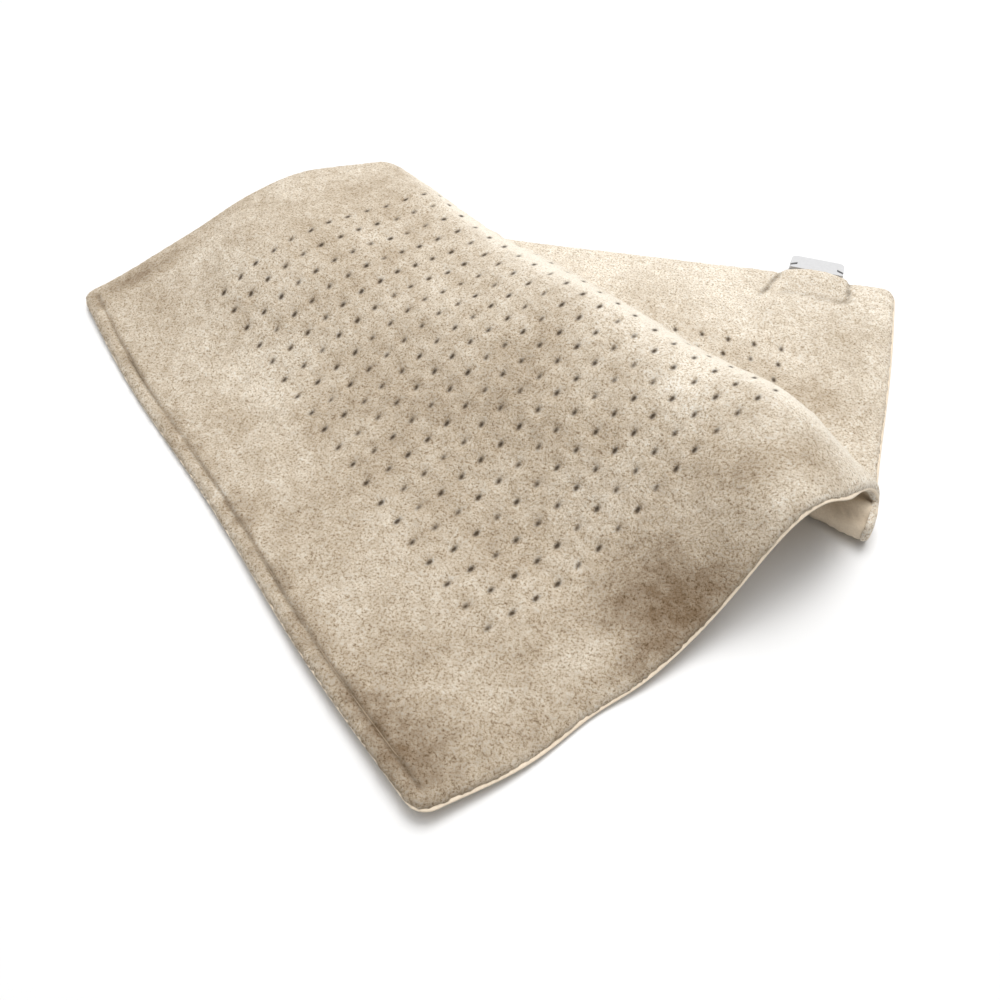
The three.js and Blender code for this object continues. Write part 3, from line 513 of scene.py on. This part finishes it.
def plush_height(u, v, ring):
    d = edge_distance(u, v)
    n = np.interp(d, EDGE_D, EDGE_N)
    inner = smooth(d, 1.5, 14)
    # quilting dots draw the plush down
    i = np.clip(np.round((u - DOT_U) / DOT_PU), 0, DOT_NU - 1)
    j = np.clip(np.round((v - DOT_V) / DOT_PV), 0, DOT_NV - 1)
    du, dv = u - DOT_U - i * DOT_PU, v - DOT_V - j * DOT_PV
    n -= DIMPLE_DEPTH * np.exp(-(du / DIMPLE_SPREAD) ** 2 - (dv / DIMPLE_SPREAD) ** 2)
    # top-stitched near end
    near = smooth(np.minimum(v, PAD_W - v) - u, -2, 3)
    stray = 0.35 * ripple(np.zeros_like(u), v, 9, 5)
    groove = np.exp(-((u - HEM_AT - stray) / HEM_HALF) ** 2) * near
    n -= HEM_DEPTH * groove
    crumple = near * np.exp(-((u - 4) / 6) ** 2) * (1 - groove)
    n += crumple * 0.5 * ripple(u, v, 4.5, 6)
    # pocket over the socket
    pocket = pocket_at(u, v)
    seams = pocket_seams(u, v)
    lip = pocket * (1 - np.clip(d / LIP_DEPTH, 0, 1))
    n += POCKET_PUFF * pocket + LIP_PUFF * lip - SEAM_DEPTH * seams
    # pile and soft unevenness
    n += inner * (0.16 * ripple(u, v, 1.9, 1) + 0.30 * ripple(u, v, 8, 2) + 0.55 * ripple(u, v, 24, 3))
    n += (1 - inner) * 0.12 * ripple(u, v, 1.6, 4)
    # looks: painted shade in the hem's groove and the pocket seams, lighter or darker where the pile lies
    # with painted shade on slopes and along the hem, and a painted highlight along the crest
    # painted shade in the hem's groove and along the pocket seams
    hem_groove_shade = (0.62 + 0.3 * ripple(u, v, 17, 8)) * groove ** 2
    dark = np.clip(hem_groove_shade + 0.8 * np.maximum(seams, 0) ** 1.5, 0, 0.85)
    crest_lit = crest_highlight_at(u, v)
    hem = near * np.exp(-((u - 6) / 4.5) ** 2)
    # painted shade, patchy, in the crumpled band along the hem
    hem_shade = hem * (0.10 - 0.2 * ripple(u, v, 5, 13))
    nap_and_shade = nap_and_shade_at(u, v) + 0.2 * crest_lit + 0.05 * ripple(u, v, 14, 9) - hem_shade
    marks = {"dark": dark, "nap_and_shade": nap_and_shade, "crest_highlight": 0.62 * crest_lit, "flat_u": u, "flat_v": v}
    # the fuzzy edge, and the part of it that rolls round to the back
    fuzz = 0.42 * (1 - smooth(d, 0, 2.5))
    u = u + fuzz * ripple(u, v, 1.2, 11)
    v = v + fuzz * ripple(u, v, 1.2, 12)
    outer = (ring >= ROLL_RING) & (v > PAD_W - 5)
    w = np.where(outer, roll_at(u), 0)
    k = np.clip(ring - ROLL_RING, 0, len(ROLL_D) - 1)
    n = n + w * (np.array(ROLL_N)[k] - n)
    v = v + w * (PAD_W - np.array(ROLL_D)[k] - v)
    return u, v, n, marks


plush = pad_mesh("plush_face", 1.0, RINGS, plush_height)
plush.data.materials.append(PLUSH)
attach(plush, "pad")
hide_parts("plush_cover")

# Smooth back cover: distance from the edge, height and share of the rim for each of its rings
BACK_RINGS = (20, 14, 10, 7, 5, 3.4, 2.2, 1.3, 0.7, 0.3, 0.0, -0.15, -0.1, 0.2, 0.8)
BACK_N = (-2.0, -2.0, -2.0, -2.0, -2.0, -1.98, -1.95, -1.88,
          -1.75, -1.5, -1.15, -0.75, -0.35, -0.15, -0.1)
BACK_RIM = (0, 0, 0, 0, 0, 0, 0, 0, 0.1, 0.35, 0.8, 1.0, 0.8, 0.2, 0)
RIM_OUT = 0.75
# Creases at the arch: two ends in u and v, and height
CREASES = ((221, 305, 226, 278, 1.2), (226, 305, 231, 281, -0.9),
           (230, 305, 236, 283, 1.0), (236, 305, 240, 290, -0.6))
CREASE_HALF = 1.7


def back_height(u, v, ring):
    n = np.where(ring == 0, BACK_BOTTOM, np.array((0,) + BACK_N)[ring])
    # the rim shows along the near long edge, except where the plush rolls round it
    rim = RIM_OUT * np.where(v > PAD_W - 4, 1 - roll_at(u), 0) * np.array((0,) + BACK_RIM)[ring]
    crease_shade = np.zeros_like(u)
    for u0, v0, u1, v1, h in CREASES:
        length = math.hypot(u1 - u0, v1 - v0)
        a = ((u - u0) * (u1 - u0) + (v - v0) * (v1 - v0)) / length
        b = ((v - v0) * (u1 - u0) - (u - u0) * (v1 - v0)) / length
        fold_here = np.exp(-(b / CREASE_HALF) ** 2) * smooth(a, -4, 4) * (1 - smooth(a, 12, length))
        n = n + h * fold_here
        # painted shade along the creases
        crease_shade = np.maximum(crease_shade, fold_here * (h > 0))
    return u, v + rim, n, {"crease_shade": 0.55 * crease_shade}


back = pad_mesh("smooth_back", 1.5, BACK_RINGS, back_height)
back.data.materials.append(BACKING)
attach(back, "pad")
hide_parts("back_cover")

# Felt that carries the wire: its height, and its rings as distances from the pad's edge
FELT_N = 1.05
FELT_RINGS = (20, 17.5)


def felt_height(u, v, ring):
    return u, v, np.full_like(u, FELT_N), {}


felt = pad_mesh("felt_sheet", 4, FELT_RINGS, felt_height)
felt.data.materials.append(FELT)
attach(felt, "pad")
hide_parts("felt_carrier")

# CAD nodes that keep their shape
LOOKS = (
    (SLEEVE, ("heating_wire_first", "heating_wire_second", "lead_wire_long", "lead_wire_short")),
    (THREAD, ("quilting_thread", "hem_thread")),
    (STEEL, ("thermostat_first", "thermostat_second", "shell_pin_left", "shell_pin_right",
             "tab_pin_left", "tab_pin_right", "tab_spring_left", "tab_spring_right")),
    (DARK, ("thermal_fuse", "contact_block")),
    (WHITE, ("socket_upper_shell", "socket_lower_shell")),
    (BRASS, ("contact_pin_left", "contact_pin_right")),
    (GREY, ("release_tab_left", "release_tab_right")),
)
for look, names in LOOKS:
    for node in names:
        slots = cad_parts[node].data.materials
        slots.clear()
        slots.append(look)
EDGE_ROUND = 0.0003
for node in ("socket_upper_shell", "socket_lower_shell", "release_tab_left", "release_tab_right"):
    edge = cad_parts[node].modifiers.new("soft_edges", "BEVEL")
    edge.width = EDGE_ROUND
    edge.segments = 2
    edge.limit_method = "ANGLE"
    edge.angle_limit = math.radians(40)

# Floor, light and camera
FLOOR_SIZE, FLOOR_DROP = 12, 0.0004
bpy.ops.mesh.primitive_plane_add(size=FLOOR_SIZE, location=(0, 0, -FLOOR_DROP))
floor = bpy.context.object
floor.name = "floor"
floor.data.materials.append(material("floor_white", (0.80, 0.80, 0.80), 0.9)[0])

world = bpy.context.scene.world or bpy.data.worlds.new("studio")
bpy.context.scene.world = world
world.use_nodes = True
background = world.node_tree.nodes["Background"]
background.inputs["Color"].default_value = (1, 1, 1, 1)
background.inputs["Strength"].default_value = 0.31


def aim(obj, at, target):
    obj.location = at
    obj.rotation_euler = (Vector(target) - Vector(at)).to_track_quat("-Z", "Y").to_euler()
    bpy.context.collection.objects.link(obj)


def area_light(name, at, target, size, power):
    data = bpy.data.lights.new(name, "AREA")
    data.size = size
    data.energy = power
    aim(bpy.data.objects.new(name, data), at, target)


area_light("key", (0.02, 0.50, 1.36), (0.08, 0.0, 0), 0.80, 16.0)
area_light("softbox", (0.05, 0.0, 1.9), (0.05, 0.0, 0), 1.4, 17.0)

camera = bpy.data.objects.new("camera", bpy.data.cameras.new("camera"))
camera.data.sensor_width = 36
camera.data.sensor_fit = "HORIZONTAL"
camera.data.lens = 31.507
camera.data.clip_start = 0.01
aim(camera, (0.11063, -0.23466, 0.26551), (0.04176, -0.03192, -0.0006))
bpy.context.scene.camera = camera
bpy.context.scene.view_settings.view_transform = "Standard"
